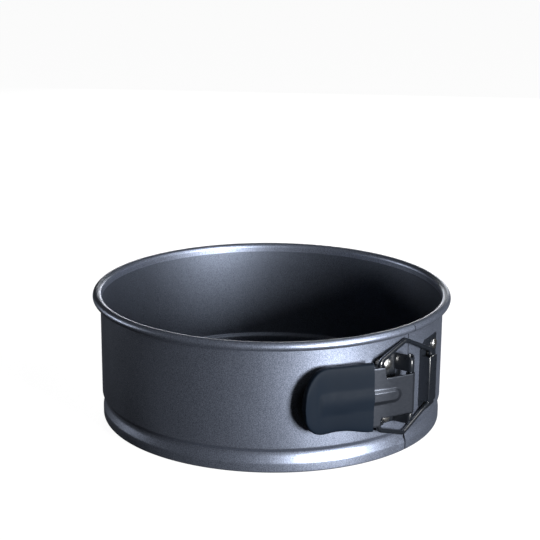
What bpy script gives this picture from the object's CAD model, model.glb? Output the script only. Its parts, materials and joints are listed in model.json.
"""Springform pan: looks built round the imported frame. Metres, +Z up, seam and latch towards -Y."""

import json
from math import atan2, copysign, cos, degrees, pi, radians, sin, tan

import bmesh
import bpy
from mathutils import Matrix, Vector


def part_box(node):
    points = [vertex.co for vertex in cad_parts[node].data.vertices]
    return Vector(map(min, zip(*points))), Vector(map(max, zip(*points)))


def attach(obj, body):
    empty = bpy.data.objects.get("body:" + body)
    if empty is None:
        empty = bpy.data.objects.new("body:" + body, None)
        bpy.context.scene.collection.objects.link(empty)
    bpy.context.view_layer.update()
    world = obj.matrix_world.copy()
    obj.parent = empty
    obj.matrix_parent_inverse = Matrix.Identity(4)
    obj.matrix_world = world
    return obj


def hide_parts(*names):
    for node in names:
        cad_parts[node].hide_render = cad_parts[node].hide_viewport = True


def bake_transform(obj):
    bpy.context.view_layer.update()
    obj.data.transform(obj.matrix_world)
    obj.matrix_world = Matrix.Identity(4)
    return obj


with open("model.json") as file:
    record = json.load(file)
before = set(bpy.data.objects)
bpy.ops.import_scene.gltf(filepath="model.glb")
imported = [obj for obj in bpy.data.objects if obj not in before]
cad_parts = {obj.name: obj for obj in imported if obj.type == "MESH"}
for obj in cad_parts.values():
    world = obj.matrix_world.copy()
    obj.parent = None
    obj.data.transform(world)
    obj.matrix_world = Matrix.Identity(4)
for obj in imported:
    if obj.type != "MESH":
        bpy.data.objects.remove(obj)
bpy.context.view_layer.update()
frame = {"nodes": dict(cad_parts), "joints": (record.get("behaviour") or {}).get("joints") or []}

MM = 0.001
joints = {joint["name"]: joint for joint in frame["joints"]}

# Driving dimensions, read off the frame where a node gives them. Angles round the pan are in degrees
# from -Y, positive towards +X. Heights on the latch are measured from MID_Z.
_, ring_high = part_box("band_right")
RIM_RADIUS = ring_high.x
HEIGHT = ring_high.z
SHEET = 0.6 * MM
CURL_RADIUS = 2.3 * MM
WALL_RADIUS = RIM_RADIUS - 4.0 * MM
CREASE_RADIUS = WALL_RADIUS - 1.6 * MM
SKIRT_RADIUS = WALL_RADIUS - 0.4 * MM
MID_Z = 35.7 * MM
SEAM_ANGLE = -2.3
SEAM_HALF_ANGLE = 0.17


def on_wall(angle, radius, z=0):
    """Point at an angle round the pan."""
    a = radians(angle)
    return Vector((radius * sin(a), -radius * cos(a), z))


def at_mid(z):
    """Offset that lifts a plan point to a height measured from the latch's middle."""
    return Vector((0, 0, MID_Z + z))


# ---------------------------------------------------------------- materials

def new_material(name, colour, metallic, roughness):
    """Principled material and its tree, with plain values to start from."""
    mat = bpy.data.materials.new(name)
    mat.use_nodes = True
    tree = mat.node_tree
    bsdf = tree.nodes["Principled BSDF"]
    bsdf.inputs["Base Color"].default_value = (*colour, 1)
    bsdf.inputs["Metallic"].default_value = metallic
    bsdf.inputs["Roughness"].default_value = roughness
    mat.diffuse_color = (*colour, 1)
    return mat, tree, bsdf


def add_noise(tree, scale, detail=2.0, stretch=(1, 1, 1)):
    """Noise texture in object space, scale in waves per metre."""
    coord = tree.nodes.new("ShaderNodeTexCoord")
    mapping = tree.nodes.new("ShaderNodeMapping")
    mapping.inputs["Scale"].default_value = stretch
    noise = tree.nodes.new("ShaderNodeTexNoise")
    noise.inputs["Scale"].default_value = scale
    noise.inputs["Detail"].default_value = detail
    tree.links.new(coord.outputs["Object"], mapping.inputs["Vector"])
    tree.links.new(mapping.outputs["Vector"], noise.inputs["Vector"])
    return noise.outputs["Fac"]


def add_ramp(tree, factor, low, high, colours):
    """Colour ramp between two positions."""
    ramp = tree.nodes.new("ShaderNodeValToRGB")
    ramp.color_ramp.elements[0].position = low
    ramp.color_ramp.elements[1].position = high
    ramp.color_ramp.elements[0].color = (*colours[0], 1)
    ramp.color_ramp.elements[1].color = (*colours[1], 1)
    tree.links.new(factor, ramp.inputs["Fac"])
    return ramp.outputs["Color"]


def add_range(tree, factor, low, high):
    """Maps 0..1 to low..high."""
    node = tree.nodes.new("ShaderNodeMapRange")
    node.inputs["To Min"].default_value = low
    node.inputs["To Max"].default_value = high
    tree.links.new(factor, node.inputs["Value"])
    return node.outputs["Result"]


def add_bump(tree, bsdf, height, strength, distance):
    """Fine relief, distance in metres."""
    bump = tree.nodes.new("ShaderNodeBump")
    bump.inputs["Strength"].default_value = strength
    bump.inputs["Distance"].default_value = distance
    tree.links.new(height, bump.inputs["Height"])
    tree.links.new(bump.outputs["Normal"], bsdf.inputs["Normal"])


def add_math(tree, operation, *values):
    """Math or vector math node. Values are numbers, vectors or sockets."""
    vector = operation in ("MULTIPLY_VECTOR", "NORMALIZE", "DOT_PRODUCT")
    node = tree.nodes.new("ShaderNodeVectorMath" if vector else "ShaderNodeMath")
    node.operation = "MULTIPLY" if operation == "MULTIPLY_VECTOR" else operation
    for socket, value in zip(node.inputs, values):
        if isinstance(value, bpy.types.NodeSocket):
            tree.links.new(value, socket)
        else:
            socket.default_value = value
    return node.outputs["Value" if operation == "DOT_PRODUCT" or not vector else "Vector"]


# Faces that point away from the axis by less than this look into the pan
INSIDE_FACING = 0.3


def add_inside_mask(tree):
    """1 on the faces that look into the pan, 0 outside."""
    coord = tree.nodes.new("ShaderNodeTexCoord")
    geometry = tree.nodes.new("ShaderNodeNewGeometry")
    flat = add_math(tree, "MULTIPLY_VECTOR", coord.outputs["Object"], (1, 1, 0))
    facing = add_math(tree, "DOT_PRODUCT", add_math(tree, "NORMALIZE", flat), geometry.outputs["Normal"])
    inward = add_math(tree, "LESS_THAN", facing, INSIDE_FACING)
    height = add_math(tree, "DOT_PRODUCT", coord.outputs["Object"], (0, 0, 1))
    below_rim = add_math(tree, "LESS_THAN", height, HEIGHT - 2 * CURL_RADIUS)
    return add_math(tree, "MULTIPLY", inward, below_rim)


def coated_steel():
    """Blue-grey metallic non-stick coating: fine flake in a soft satin film, darker inside the pan."""
    mat, tree, bsdf = new_material("coated_steel", (0.16, 0.178, 0.23), metallic=0.9, roughness=0.42)
    flake = add_noise(tree, scale=2200, detail=2)
    flake_low, flake_high = 0.34, 0.68
    outside_colours = (0.102, 0.119, 0.16), (0.222, 0.25, 0.32)
    inside_colours = (0.042, 0.05, 0.067), (0.084, 0.096, 0.124)
    inside_roughness = 0.12
    outside = add_ramp(tree, flake, flake_low, flake_high, outside_colours)
    inside = add_ramp(tree, flake, flake_low, flake_high, inside_colours)
    mix = tree.nodes.new("ShaderNodeMix")
    mix.data_type = "RGBA"
    colour_a, colour_b, colour_out = mix.inputs[6], mix.inputs[7], mix.outputs[2]
    mask = add_inside_mask(tree)
    tree.links.new(mask, mix.inputs["Factor"])
    tree.links.new(outside, colour_a)
    tree.links.new(inside, colour_b)
    tree.links.new(colour_out, bsdf.inputs["Base Color"])
    cloud = add_range(tree, add_noise(tree, scale=60, detail=3), 0.37, 0.43)
    tree.links.new(add_math(tree, "MULTIPLY_ADD", mask, inside_roughness, cloud), bsdf.inputs["Roughness"])
    add_bump(tree, bsdf, add_noise(tree, scale=1300, detail=2), strength=0.2, distance=0.05 * MM)
    return mat


def black_steel():
    """Black lacquered steel of the bracket, catch and wire."""
    mat, tree, bsdf = new_material("black_steel", (0.004, 0.005, 0.007), metallic=0.0, roughness=0.3)
    wear = add_noise(tree, scale=400, detail=3)
    tree.links.new(add_range(tree, wear, 0.2, 0.4), bsdf.inputs["Roughness"])
    add_bump(tree, bsdf, add_noise(tree, scale=1800, detail=2), strength=0.15, distance=0.03 * MM)
    bsdf.inputs["Specular IOR Level"].default_value = 0.35
    bsdf.inputs["Coat Weight"].default_value = 0.35
    bsdf.inputs["Coat Roughness"].default_value = 0.12
    return mat


def dark_steel():
    """Dark plated steel of the lever, with faint rolling marks."""
    mat, tree, bsdf = new_material("dark_steel", (0.015, 0.018, 0.023), metallic=0.7, roughness=0.34)
    bsdf.inputs["Specular IOR Level"].default_value = 0.25
    streak = add_noise(tree, scale=500, detail=3, stretch=(1, 1, 14))
    colour = add_ramp(tree, streak, 0.3, 0.75, ((0.012, 0.014, 0.019), (0.021, 0.024, 0.03)))
    tree.links.new(colour, bsdf.inputs["Base Color"])
    tree.links.new(add_range(tree, streak, 0.32, 0.45), bsdf.inputs["Roughness"])
    add_bump(tree, bsdf, streak, strength=0.04, distance=0.02 * MM)
    return mat


def bright_steel():
    """Bright plated rivets."""
    mat, tree, bsdf = new_material("bright_steel", (0.75, 0.75, 0.74), metallic=1.0, roughness=0.2)
    scuff = add_noise(tree, scale=900, detail=4)
    tree.links.new(add_range(tree, scuff, 0.14, 0.34), bsdf.inputs["Roughness"])
    add_bump(tree, bsdf, scuff, strength=0.12, distance=0.04 * MM)
    return mat


def grip_rubber():
    """Matte black-blue silicone."""
    mat, tree, bsdf = new_material("grip_rubber", (0.0025, 0.0045, 0.008), metallic=0.0, roughness=0.6)
    bsdf.inputs["Specular IOR Level"].default_value = 0.04
    mottle = add_noise(tree, scale=220, detail=3)
    tree.links.new(add_range(tree, mottle, 0.54, 0.64), bsdf.inputs["Roughness"])
    add_bump(tree, bsdf, add_noise(tree, scale=3200, detail=2), strength=0.12, distance=0.04 * MM)
    return mat


MATERIALS = {
    "coated_steel": coated_steel(),
    "black_steel": black_steel(),
    "dark_steel": dark_steel(),
    "bright_steel": bright_steel(),
    "grip_rubber": grip_rubber(),
}


def paint(obj, slot):
    """Gives an object its material and its slot in the record."""
    obj.data.materials.clear()
    obj.data.materials.append(MATERIALS[slot])


# ---------------------------------------------------------------- mesh helpers

def add_object(name, bm, smooth_angle=None):
    """Object from a bmesh. With an angle in degrees, sharper edges stay sharp."""
    bmesh.ops.recalc_face_normals(bm, faces=bm.faces)
    mesh = bpy.data.meshes.new(name)
    bm.to_mesh(mesh)
    bm.free()
    obj = bpy.data.objects.new(name, mesh)
    bpy.context.collection.objects.link(obj)
    for face in mesh.polygons:
        face.use_smooth = True
    if smooth_angle:
        mesh.set_sharp_from_angle(angle=radians(smooth_angle))
    return obj


def bridge(bm, loops, caps=True):
    """Quads between each loop of vertices and the next, with a face over each end."""
    size = len(loops[0])
    for here, after in zip(loops, loops[1:]):
        for k in range(size):
            n = (k + 1) % size
            bm.faces.new((here[k], here[n], after[n], after[k]))
    if caps:
        bm.faces.new(loops[0])
        bm.faces.new(loops[-1][::-1])


def unit_circle(sides):
    """Corners of a regular polygon of radius 1."""
    return [(cos(2 * pi * k / sides), sin(2 * pi * k / sides)) for k in range(sides)]


def smooth_step(t):
    """Eased 0..1, flat at both ends."""
    t = max(0.0, min(1.0, t))
    return t * t * (3 - 2 * t)


def arc(centre, radius, start, end, steps):
    """Points on an arc in the (r, z) plane, angles in degrees."""
    turns = [radians(start + i * (end - start) / steps) for i in range(steps + 1)]
    return [(centre[0] + radius * cos(turn), centre[1] + radius * sin(turn)) for turn in turns]


def eased_corner(start, corner, end, steps):
    """Points on the curve that leaves start towards corner and reaches end."""
    ts = [i / steps for i in range(steps + 1)]
    return [start * (1 - t) ** 2 + corner * 2 * t * (1 - t) + end * t * t for t in ts]


def rounded(points, radii, steps=5):
    """Polyline in (r, z) with its inner corners rounded, by one radius or one for each corner."""
    if not isinstance(radii, tuple):
        radii = (radii,) * (len(points) - 2)
    out = [points[0]]
    for before, here, after, radius in zip(points, points[1:], points[2:], radii):
        b, h, a = Vector(before), Vector(here), Vector(after)
        u, v = (b - h).normalized(), (a - h).normalized()
        half = u.angle(v) / 2
        cut = min(radius / tan(half), (b - h).length * 0.45, (a - h).length * 0.45)
        out += [tuple(point) for point in eased_corner(h + u * cut, h, h + v * cut, steps)]
    return out + [points[-1]]


def thicken(points, thickness):
    """Closed outline of a strip of even thickness round a middle line."""
    left, right = [], []
    for i, point in enumerate(points):
        before, after = Vector(points[max(i - 1, 0)]), Vector(points[min(i + 1, len(points) - 1)])
        way = (after - before).normalized()
        normal = Vector((-way.y, way.x)) * thickness / 2
        left.append(tuple(Vector(point) + normal))
        right.append(tuple(Vector(point) - normal))
    return left + right[::-1]


def lathe(name, outline, start, end, steps, smooth_angle=40):
    """Turns a closed outline in (r, z) round the axis from one angle to another."""
    bm = bmesh.new()
    rings = []
    whole = abs(end - start) >= 360
    for i in range(steps if whole else steps + 1):
        angle = start + (end - start) * i / steps
        rings.append([bm.verts.new(on_wall(angle, r, z)) for r, z in outline])
    bridge(bm, rings + rings[:1] if whole else rings, caps=not whole)
    return add_object(name, bm, smooth_angle)


def add_bevel(obj, width, angle):
    """Rounds the edges that are sharper than an angle in degrees."""
    bevel = obj.modifiers.new("bevel", "BEVEL")
    bevel.width = width
    bevel.segments = 3
    bevel.limit_method = "ANGLE"
    bevel.angle_limit = radians(angle)
    return bevel


# ---------------------------------------------------------------- ring and base

SKIRT_TOP = 4.8 * MM
CREASE_LOW, CREASE_TOP = 8.8 * MM, 11.0 * MM
WALL_FOOT = 12.4 * MM
HEM = 1.2 * MM
BEND_RADII = (0.5 * MM, 4 * MM, 10 * MM, 2 * MM, 1.6 * MM)
CURL_END = -120

LAP_ANGLE = 4
LAP_PROUD = 0.45 * MM
LAP_LEVELS = (0.6 * MM, 0.7 * MM, 4.4 * MM, 6.6 * MM)
LAP_STEPS = 40

STRIPS_MEET = 199.15
LEFT_STEPS, RIGHT_STEPS = 250, 310
FOOT_SETBACK = 0.5
FOOT_TOP = 12 * MM


def ring_outline():
    """Section of the ring: hem, skirt, bead, wall and curled rim."""
    half = SHEET / 2
    wall, crease, skirt = WALL_RADIUS - half, CREASE_RADIUS - half, SKIRT_RADIUS - half
    curl_centre = (RIM_RADIUS - CURL_RADIUS, HEIGHT - CURL_RADIUS)
    lower = rounded([
        (crease - HEM, half),
        (skirt, half),
        (skirt, SKIRT_TOP),
        (crease, CREASE_LOW),
        (crease, CREASE_TOP),
        (wall, WALL_FOOT),
        (wall, 30 * MM),
    ], BEND_RADII, 8)
    curl = arc(curl_centre, CURL_RADIUS - half, 180, CURL_END, 40)
    return thicken(lower + [(wall, 50 * MM)] + curl, SHEET)


def set_foot_back(strip):
    """Turns the foot of the strip's front end away from the seam, which leaves a notch there."""
    turn = Matrix.Rotation(radians(FOOT_SETBACK), 3, "Z")
    for vertex in strip.data.vertices:
        x, y, z = vertex.co
        at_end = degrees(atan2(x, -y)) < SEAM_ANGLE + SEAM_HALF_ANGLE + 0.01
        if at_end and abs(x) < 10 * MM and y < 0 and z < FOOT_TOP:
            vertex.co = turn @ vertex.co


def build_ring():
    """The strip in two lengths: it bends smoothly behind the pan as the right half springs open."""
    outline = ring_outline()
    left_end, right_end = 360 + SEAM_ANGLE - SEAM_HALF_ANGLE, SEAM_ANGLE + SEAM_HALF_ANGLE
    left = lathe("ring_left_strip", outline, STRIPS_MEET, left_end, LEFT_STEPS, smooth_angle=32)
    right = lathe("ring_right_strip", outline, right_end, STRIPS_MEET, RIGHT_STEPS, smooth_angle=32)
    set_foot_back(right)
    for piece in (left, right):
        paint(piece, "coated_steel")
    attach(left, "ring_left")
    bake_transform(right)
    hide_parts("band_left")
    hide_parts("band_right")


def build_lap():
    """The left end's skirt, standing proud of the right end's beside the seam."""
    inner = SKIRT_RADIUS - SHEET / 2
    start, end = SEAM_ANGLE - LAP_ANGLE, SEAM_ANGLE - SEAM_HALF_ANGLE
    bm = bmesh.new()
    rings = []
    for i in range(LAP_STEPS + 1):
        proud = inner + SHEET / 2 + LAP_PROUD * smooth_step(i / LAP_STEPS)
        corners = list(zip((inner, proud, proud, inner), LAP_LEVELS))
        angle = start + (end - start) * i / LAP_STEPS
        rings.append([bm.verts.new(on_wall(angle, r, z)) for r, z in rounded(corners, 0.4 * MM)])
    bridge(bm, rings)
    lap = add_object("ring_lap", bm, smooth_angle=40)
    paint(lap, "coated_steel")
    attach(lap, "ring_left")


def build_base():
    """Disc with a step up to its edge, which stands in the ring's channel."""
    low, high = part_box("base_disc")
    half = SHEET / 2
    floor_z = low.z + half
    rim = high.x - half
    flat = rim - 2.5 * MM
    step = 0.8 * MM
    line = rounded([
        (0.01 * MM, floor_z),
        (flat, floor_z),
        (flat + step, floor_z + SHEET),
        (rim, floor_z + SHEET),
        (rim, high.z),
    ], 0.32 * MM)
    base = lathe("base_plate", thicken(line, SHEET), 0, 360, 360, smooth_angle=40)
    paint(base, "coated_steel")
    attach(base, "ring_left")
    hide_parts("base_disc")


build_ring()
build_lap()
build_base()


# ---------------------------------------------------------------- lever and grip

PIVOT = Vector(joints["lever_pivot"]["pos_m"])
BAIL_PIVOT = Vector(joints["bail_pivot"]["pos_m"])
LEVER_FOOT = Vector((PIVOT.x, PIVOT.y, 0))
BAIL_FOOT = Vector((BAIL_PIVOT.x, BAIL_PIVOT.y, 0))

LEVER_SHEET = 1.0 * MM
KNUCKLE_RADIUS = 2.2 * MM
NECK_HALF = 10.2 * MM
TAB_LOW, TAB_TOP = -14.5 * MM, 15.8 * MM
LOW_TAB_SHIFT = 2.3 * MM
TAB_CORNER = 0.9 * MM
EAR_RADIUS = 2.7 * MM
EAR_INSET = 0.6 * MM
BEVEL = 0.2 * MM
EDGE_RADIUS = 0.35 * MM
EDGE_ROWS = (0, 0.05 * MM, 0.15 * MM, EDGE_RADIUS)
BEND_EASE = 4 * MM

RIB_Z = 1.0 * MM
RIB_HALF = 3.7 * MM
RIB_HEIGHT = 0.8 * MM
RIB_FLANK = 1.5 * MM
RIB_REACH = 9.0 * MM
RIB_ROWS = (14, 8, 10, 8, 14)

# Plan line of the lever's sheet and of the grip that carries it on
NECK_START = on_wall(-7.2, PIVOT.xy.length + KNUCKLE_RADIUS - LEVER_SHEET / 2)
TAB_START = on_wall(-16.3, 98.1 * MM)
TAB_END = on_wall(-20.2, 96.7 * MM)
GRIP_MIDDLE = on_wall(-31.5, 94.8 * MM)
GRIP_TIP = on_wall(-41.6, 99.8 * MM)

GRIP_HALF_THICKNESS = 2.4 * MM
GRIP_TOP, GRIP_TOP_RISE = 18.7 * MM, 0.4 * MM
GRIP_LOW, GRIP_LOW_RISE = 16.2 * MM, 1.9 * MM
GRIP_WAIST = 1.0 * MM
GRIP_SIDES = 96
# Below 1 these square up the round section of the grip, across its edges and across its faces
EDGE_POWER, FACE_POWER = 0.55, 0.32
PAD_HEIGHT = 0.75 * MM
PAD_LOW, PAD_TOP = -3.4 * MM, 6.6 * MM
PAD_END = 0.8


def tangent_arc(start, way, end, steps):
    """Points on the plan arc that leaves start along way and reaches end, and its last direction."""
    side = Vector((-way.y, way.x, 0))
    chord = end - start
    radius = chord.length_squared / (2 * chord.dot(side))
    centre = start + side * radius
    sweep = 2 * (way.xy.angle_signed(chord.xy))
    points = []
    for i in range(steps + 1):
        turn = Matrix.Rotation(-sweep * i / steps, 3, "Z")
        points.append(centre + turn @ (start - centre))
    return points, Matrix.Rotation(-sweep, 3, "Z") @ way


def straight(start, end, steps):
    """Evenly spaced points from start to end."""
    return [start.lerp(end, i / steps) for i in range(steps + 1)]


def plan_normals(points):
    """Unit vectors pointing away from the wall along a plan line."""
    normals = []
    for i in range(len(points)):
        way = (points[min(i + 1, len(points) - 1)] - points[max(i - 1, 0)]).normalized()
        normals.append(Vector((-way.y, way.x, 0)))
    return normals


tab_way = (TAB_END - TAB_START).normalized()
hug_points, hug_way = tangent_arc(TAB_END, tab_way, GRIP_MIDDLE, 40)
flare_points, _ = tangent_arc(GRIP_MIDDLE, hug_way, GRIP_TIP, 40)


def tip_round(t, start, power):
    """Falls from 1 at start to 0 at the tip, as a superellipse."""
    u = min(1, max(0, (t - start) / (1 - start)))
    return (1 - u ** power) ** (1 / power)


def grip_half_heights(t):
    """Distance from the middle up to the top edge and down to the bottom edge, t from steel end to tip."""
    top = (GRIP_TOP + GRIP_TOP_RISE * t) * tip_round(t, 0.6, 2.2)
    low = (GRIP_LOW - GRIP_LOW_RISE * smooth_step(t / 0.6)) * tip_round(t, 0.68, 2.1)
    waist = GRIP_WAIST * sin(pi * min(t / 0.7, 1)) ** 2
    return top, low - waist


def thumb_pad(t, z):
    """Height of the raised pad on the grip's outer face."""
    upper = smooth_step((PAD_TOP - z) / (2.6 * MM))
    lower = smooth_step((z - PAD_LOW) / (0.7 * MM))
    return PAD_HEIGHT * upper * lower * smooth_step((PAD_END - t) / 0.1)


def build_grip():
    """Soft sleeve: crowned faces, round edges, a thumb pad along the middle and a tip that lifts."""
    line = hug_points + flare_points[1:]
    bm = bmesh.new()
    loops = []
    last = len(line) - 1
    for i, (point, normal) in enumerate(zip(line, plan_normals(line))):
        t = i / last
        top, low = grip_half_heights(t)
        taper = 1 - 0.3 * smooth_step((t - 0.8) / 0.2)
        loop = []
        for height, depth in unit_circle(GRIP_SIDES):
            z = top * height ** EDGE_POWER if height > 0 else -low * abs(height) ** EDGE_POWER
            out = copysign(abs(depth) ** FACE_POWER, depth) * GRIP_HALF_THICKNESS * taper
            if depth > 0:
                out += thumb_pad(t, z)
            loop.append(bm.verts.new(point + normal * out + at_mid(z)))
        loops.append(loop)
    bridge(bm, loops)
    grip = add_object("soft_grip", bm, smooth_angle=50)
    paint(grip, "grip_rubber")
    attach(grip, "lever")
    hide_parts("lever_grip")


build_grip()


def lever_edges(s, step_at):
    """Top and bottom of the lever's sheet at a distance along its line: neck, then the taller tab."""
    up = smooth_step((s - step_at) / TAB_CORNER + 0.5)
    down = smooth_step((s - step_at - LOW_TAB_SHIFT) / TAB_CORNER + 0.5)
    return NECK_HALF + (TAB_TOP - NECK_HALF) * up, -NECK_HALF + (TAB_LOW + NECK_HALF) * down


def rib_lift(s, z, start):
    """Height of the pressed rib above the sheet."""
    across = RIB_HALF - abs(z - RIB_Z)
    along = s - start
    if along < RIB_HALF:
        across = RIB_HALF - Vector((RIB_HALF - along, z - RIB_Z)).length
    return RIB_HEIGHT * max(0.0, min(1.0, across / RIB_FLANK))


def lever_line():
    """Plan line of the sheet: knuckle, neck, tab and tongue, and the index of the neck's bend."""
    neck_way = (TAB_START - NECK_START).normalized()
    outward = Vector((-neck_way.y, neck_way.x, 0)) * (KNUCKLE_RADIUS - LEVER_SHEET / 2)
    knuckle = [LEVER_FOOT + Matrix.Rotation(radians(turn), 3, "Z") @ outward for turn in range(240, 0, -10)]
    neck = straight(LEVER_FOOT + outward, TAB_START, 36)
    tab = straight(TAB_START, TAB_END, 24)
    bend_steps = 24
    bend_start, bend_end = TAB_START - neck_way * BEND_EASE, TAB_START + tab_way * BEND_EASE
    bend = eased_corner(bend_start, TAB_START, bend_end, bend_steps)
    clear = BEND_EASE + 0.1 * MM
    line = knuckle + [p for p in neck if (p - TAB_START).length > clear] + bend
    bend_at = len(line) - 1 - bend_steps // 2
    return line + [p for p in tab if (p - TAB_START).length > clear] + hug_points[1:12], bend_at


def lever_rows(top, bottom):
    """Heights of the sheet's rows of vertices: close at its edges, and one at each break of the rib."""
    marks = (
        top - EDGE_RADIUS, RIB_Z + RIB_HALF, RIB_Z + RIB_HALF - RIB_FLANK,
        RIB_Z - RIB_HALF + RIB_FLANK, RIB_Z - RIB_HALF, bottom + EDGE_RADIUS,
    )
    rows = [top - depth for depth in EDGE_ROWS[:-1]]
    for upper, lower, count in zip(marks, marks[1:], RIB_ROWS):
        rows += [upper + (lower - upper) * k / count for k in range(count)]
    return rows + [bottom + depth for depth in reversed(EDGE_ROWS)]


def build_lever():
    """One pressed sheet: rolled round the pin, a neck with a rib, a taller tab and a tongue in the grip."""
    half = LEVER_SHEET / 2
    line, bend_at = lever_line()
    way = [0.0]
    for before, after in zip(line, line[1:]):
        way.append(way[-1] + (after - before).length)
    step_at = way[bend_at]
    bm = bmesh.new()
    loops = []
    for s, point, normal in zip(way, line, plan_normals(line)):
        top, bottom = lever_edges(s, step_at)
        front, back = [], []
        for z in lever_rows(top, bottom):
            depth = min(top - z, z - bottom, EDGE_RADIUS)
            drop = EDGE_RADIUS - (EDGE_RADIUS ** 2 - (EDGE_RADIUS - depth) ** 2) ** 0.5
            lift = rib_lift(s, z, step_at - RIB_REACH)
            front.append(bm.verts.new(point + normal * (half - drop + lift) + at_mid(z)))
            back.append(bm.verts.new(point + normal * (lift - half + drop) + at_mid(z)))
        loops.append(front + back[::-1])
    bridge(bm, loops, caps=False)
    for loop in (loops[0], loops[-1]):
        for k in range(len(loop) // 2 - 1):
            bm.faces.new((loop[k], loop[k + 1], loop[-2 - k], loop[-1 - k]))
    lever = add_object("lever_sheet", bm, smooth_angle=50)
    paint(lever, "dark_steel")
    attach(lever, "lever")
    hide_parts("lever")


def build_flanges():
    """The tab's two ends, folded back level. The bail's ends pass through them, with no holes cut."""
    outward = Vector((-tab_way.y, tab_way.x, 0))
    reach = (TAB_START - BAIL_FOOT).dot(outward) + 0.2 * MM
    ear = arc((0, 0), EAR_RADIUS, 0, -180, 12)
    bm = bmesh.new()
    for low, shift in ((TAB_LOW, LOW_TAB_SHIFT), (TAB_TOP - LEVER_SHEET, 0)):
        start = (TAB_START - BAIL_FOOT).dot(tab_way) + shift + EAR_INSET
        end = (TAB_END - BAIL_FOOT).dot(tab_way) - EAR_INSET
        plan = [BAIL_FOOT + tab_way * x + outward * y for x, y in [(start, reach), (end, reach)] + ear]
        bridge(bm, [[bm.verts.new(point + at_mid(z)) for point in plan] for z in (low, low + LEVER_SHEET)])
    flanges = add_object("lever_flanges", bm, smooth_angle=40)
    add_bevel(flanges, BEVEL, 40)
    paint(flanges, "dark_steel")
    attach(flanges, "lever")


build_lever()
build_flanges()

# ---------------------------------------------------------------- bail wire

def round_corners(points, radius, steps=10):
    """3-D polyline with its corners turned into arcs."""
    out = [points[0]]
    for before, here, after in zip(points, points[1:], points[2:]):
        u, v = (before - here).normalized(), (after - here).normalized()
        half = u.angle(v) / 2
        cut = radius / tan(half)
        centre = here + (u + v).normalized() * (radius / sin(half))
        start, end = here + u * cut - centre, here + v * cut - centre
        axis, sweep = start.cross(end), start.angle(end)
        for i in range(steps + 1):
            out.append(centre + Matrix.Rotation(sweep * i / steps, 3, axis) @ start)
    return out + [points[-1]]


def tube(name, points, radius, sides):
    """Round wire along points, its cross-sections kept from twisting."""
    bm = bmesh.new()
    rings = []
    normal = None
    for i, point in enumerate(points):
        way = (points[min(i + 1, len(points) - 1)] - points[max(i - 1, 0)]).normalized()
        if normal is None:
            normal = way.orthogonal().normalized()
        normal = (normal - way * normal.dot(way)).normalized()
        side = way.cross(normal)
        rings.append([bm.verts.new(point + (normal * x + side * y) * radius) for x, y in unit_circle(sides)])
    bridge(bm, rings)
    return add_object(name, bm, smooth_angle=50)


WIRE_RADIUS = 1.15 * MM
WIRE_BEND = 2.5 * MM
BAR = on_wall(8.0, 93.5 * MM)
BAR_HALF = 14.2 * MM
SHOULDER_REACH, SHOULDER_HALF = 20.3 * MM, 24.3 * MM
BAIL_LOW, BAIL_TOP = -16.9 * MM, 18.2 * MM
STUB = 4.6 * MM


def build_bail():
    """One bent wire: its ends stand in the lever's tab, its bar lies in the catch."""
    way = (BAR - BAIL_FOOT).normalized()
    reach = (BAR - BAIL_FOOT).length
    loop = [(0, BAIL_TOP - STUB), (0, BAIL_TOP), (SHOULDER_REACH, SHOULDER_HALF), (reach, BAR_HALF)]
    loop += [(reach, -BAR_HALF), (SHOULDER_REACH, -SHOULDER_HALF), (0, BAIL_LOW), (0, BAIL_LOW + STUB)]
    points = [BAIL_FOOT + way * along + at_mid(z) for along, z in loop]
    bail = tube("bail_loop", round_corners(points, WIRE_BEND), WIRE_RADIUS, 24)
    paint(bail, "black_steel")
    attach(bail, "bail")
    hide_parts("bail_wire")


build_bail()

# ---------------------------------------------------------------- rivets

BRACKET_RIVET_ANGLE, CATCH_RIVET_ANGLE = -12.4, 13.9
RIVET_LEVELS = (-13.2 * MM, 14.2 * MM)
RIVET_SIDES = 32
RIVET_SEAT = WALL_RADIUS + 0.84 * MM
HEAD_RADIUS, HEAD_RIM, HEAD_DOME = 2.75 * MM, 0.25 * MM, 1.07 * MM
SHANK_RADIUS = 1.45 * MM
TAIL_RADIUS = 2.2 * MM
TAIL_START, TAIL_END = -1.48 * MM, -2.0 * MM
ON_AXIS = 0.001 * MM


def rivet_profile():
    """Half section of a rivet as (radius, height above its seat), from the head's top to the tail's end."""
    dome = [radians(turn) for turn in range(9, 91, 9)]
    profile = [(ON_AXIS, HEAD_RIM + HEAD_DOME)]
    profile += [(HEAD_RADIUS * sin(turn), HEAD_RIM + HEAD_DOME * cos(turn)) for turn in dome]
    profile += [(HEAD_RADIUS - 0.05 * MM, 0.02 * MM), (SHANK_RADIUS, 0), (SHANK_RADIUS, TAIL_START)]
    profile += [(TAIL_RADIUS - 0.05 * MM, TAIL_START - 0.02 * MM), (TAIL_RADIUS, -1.75 * MM)]
    return profile + [(TAIL_RADIUS - 0.2 * MM, TAIL_END + 0.02 * MM), (ON_AXIS, TAIL_END)]


def build_rivets(node, angle, body):
    """Two pressed rivets: low domed head outside, flat tail inside."""
    outward, along = on_wall(angle, 1), on_wall(angle + 90, 1)
    up = Vector((0, 0, 1))
    circle = unit_circle(RIVET_SIDES)
    bm = bmesh.new()
    for level in RIVET_LEVELS:
        rings = []
        for radius, height in rivet_profile():
            centre = outward * (RIVET_SEAT + height) + at_mid(level)
            rings.append([bm.verts.new(centre + (along * x + up * y) * radius) for x, y in circle])
        bridge(bm, rings, caps=False)
    rivets = add_object(node + "_heads", bm, smooth_angle=60)
    paint(rivets, "bright_steel")
    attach(rivets, body)
    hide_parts(node)


build_rivets("bracket_rivets", BRACKET_RIVET_ANGLE, "ring_left")
build_rivets("catch_rivets", CATCH_RIVET_ANGLE, "ring_right")


# ---------------------------------------------------------------- latch, carried-over CAD nodes

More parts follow.
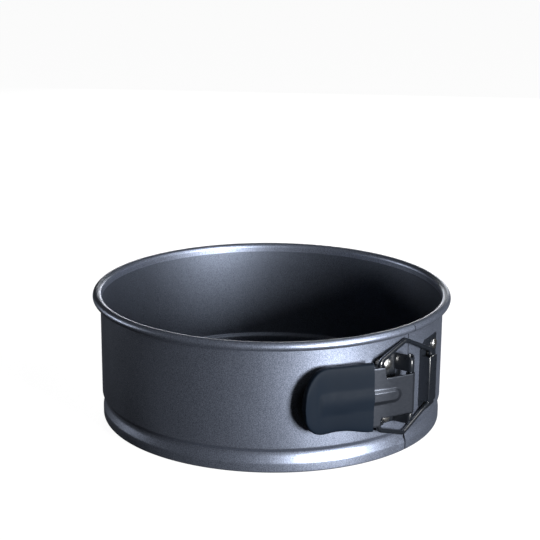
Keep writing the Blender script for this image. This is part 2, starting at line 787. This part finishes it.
def soften(node, slot):
    """CAD node kept as it is, with rounded edges and a finish."""
    obj = frame["nodes"][node]
    paint(obj, slot)
    weld = obj.modifiers.new("weld", "WELD")
    weld.merge_threshold = 0.002 * MM
    bevel = add_bevel(obj, BEVEL, 35)
    bevel.harden_normals = True


soften("lever_bracket", "black_steel")
soften("lever_pin", "dark_steel")
soften("catch_plate", "black_steel")


# ---------------------------------------------------------------- stage, lights, camera

FLOOR_RADIUS, FLOOR_SIDES = 6.0, 64
BACKDROP_HEIGHT = 5.0
FLOOR_GLOW = 0.955


def build_stage():
    """Plain pale floor and a far wall of the same colour, so that low views end in it too."""
    mat, _, bsdf = new_material("floor_white", (0.06, 0.06, 0.06), metallic=0.0, roughness=0.6)
    bsdf.inputs["Emission Color"].default_value = (1, 1, 1, 1)
    bsdf.inputs["Emission Strength"].default_value = FLOOR_GLOW
    edge = [(x * FLOOR_RADIUS, y * FLOOR_RADIUS) for x, y in unit_circle(FLOOR_SIDES)]
    for name, levels in (("floor", (0,)), ("backdrop", (0, BACKDROP_HEIGHT))):
        bm = bmesh.new()
        loops = [[bm.verts.new((x, y, z)) for x, y in edge] for z in levels]
        if len(loops) == 1:
            bm.faces.new(loops[0])
        bridge(bm, loops, caps=False)
        piece = add_object(name, bm)
        piece.data.materials.append(mat)
        piece.visible_glossy = False
        piece.visible_diffuse = False
        piece.visible_shadow = name == "floor"


def add_area(name, place, aim, size, power):
    """Soft rectangular light. size is (width, height)."""
    light = bpy.data.lights.new(name, "AREA")
    light.shape = "RECTANGLE"
    light.size, light.size_y = size
    light.energy = power
    obj = bpy.data.objects.new(name, light)
    obj.location = place
    obj.rotation_euler = (aim - place).to_track_quat("-Z", "Y").to_euler()
    bpy.context.collection.objects.link(obj)
    return obj


CAMERA_AZIMUTH = -50.5
CAMERA_ELEVATION = 18.76
CAMERA_DISTANCE = 0.776
CAMERA_PITCH = 3.05
CAMERA_YAW = 0.075
CAMERA_ROLL = 0.457
LENS = 96.1
CAMERA_AIM = Vector((0, 0, 33.85 * MM))
LIGHT_AIM = Vector((0, 0, 30 * MM))
WORLD_STRENGTH = 0.02

# Name, place seen from the camera as (right, towards it, up), size, watts
LIGHTS = (
    ("key_right", (0.72, 0.92, 0.21), (0.28, 0.38), 58),
    ("edge_left", (-1.05, -0.26, 0.19), (0.35, 0.15), 2.8),
    ("back_low", (0.1, -1.1, 0.12), (0.7, 0.16), 3.5),
    ("top_right", (0.55, 0.3, 0.75), (0.5, 0.3), 4.5),
    ("overhead", (0.0, 0.1, 1.6), (1.6, 1.6), 3),
)


def from_camera(right, towards, up):
    """Place given in the camera's plan directions, from the pan's axis."""
    a = radians(CAMERA_AZIMUTH)
    return Vector((
        right * cos(a) + towards * sin(a),
        right * sin(a) - towards * cos(a),
        up,
    ))


def build_lights():
    """Dim even world, the lamps, and the plain display transform."""
    world = bpy.data.worlds.new("studio")
    world.use_nodes = True
    background = world.node_tree.nodes["Background"]
    background.inputs["Color"].default_value = (1, 1, 1, 1)
    background.inputs["Strength"].default_value = WORLD_STRENGTH
    scene = bpy.context.scene
    scene.world = world
    scene.view_settings.view_transform = "Standard"
    lamps = {name: add_area(name, from_camera(*place), LIGHT_AIM, *rest) for name, place, *rest in LIGHTS}
    lamps["overhead"].visible_glossy = False


def build_camera():
    """Long lens from the photo's place, turned a little so that the pan lands where it is in the photo."""
    camera = bpy.data.cameras.new("camera")
    camera.lens = LENS
    camera.sensor_width = 36
    obj = bpy.data.objects.new("camera", camera)
    bpy.context.collection.objects.link(obj)
    a, e = radians(CAMERA_AZIMUTH), radians(CAMERA_ELEVATION)
    back = Vector((sin(a) * cos(e), -cos(a) * cos(e), sin(e)))
    aimed = (-back).to_track_quat("-Z", "Y").to_matrix()
    turn = (
        Matrix.Rotation(radians(CAMERA_YAW), 3, "Y")
        @ Matrix.Rotation(radians(CAMERA_PITCH), 3, "X")
        @ Matrix.Rotation(radians(CAMERA_ROLL), 3, "Z")
    )
    obj.matrix_world = Matrix.Translation(CAMERA_AIM + back * CAMERA_DISTANCE) @ (aimed @ turn).to_4x4()
    bpy.context.scene.camera = obj


build_stage()
build_lights()
build_camera()
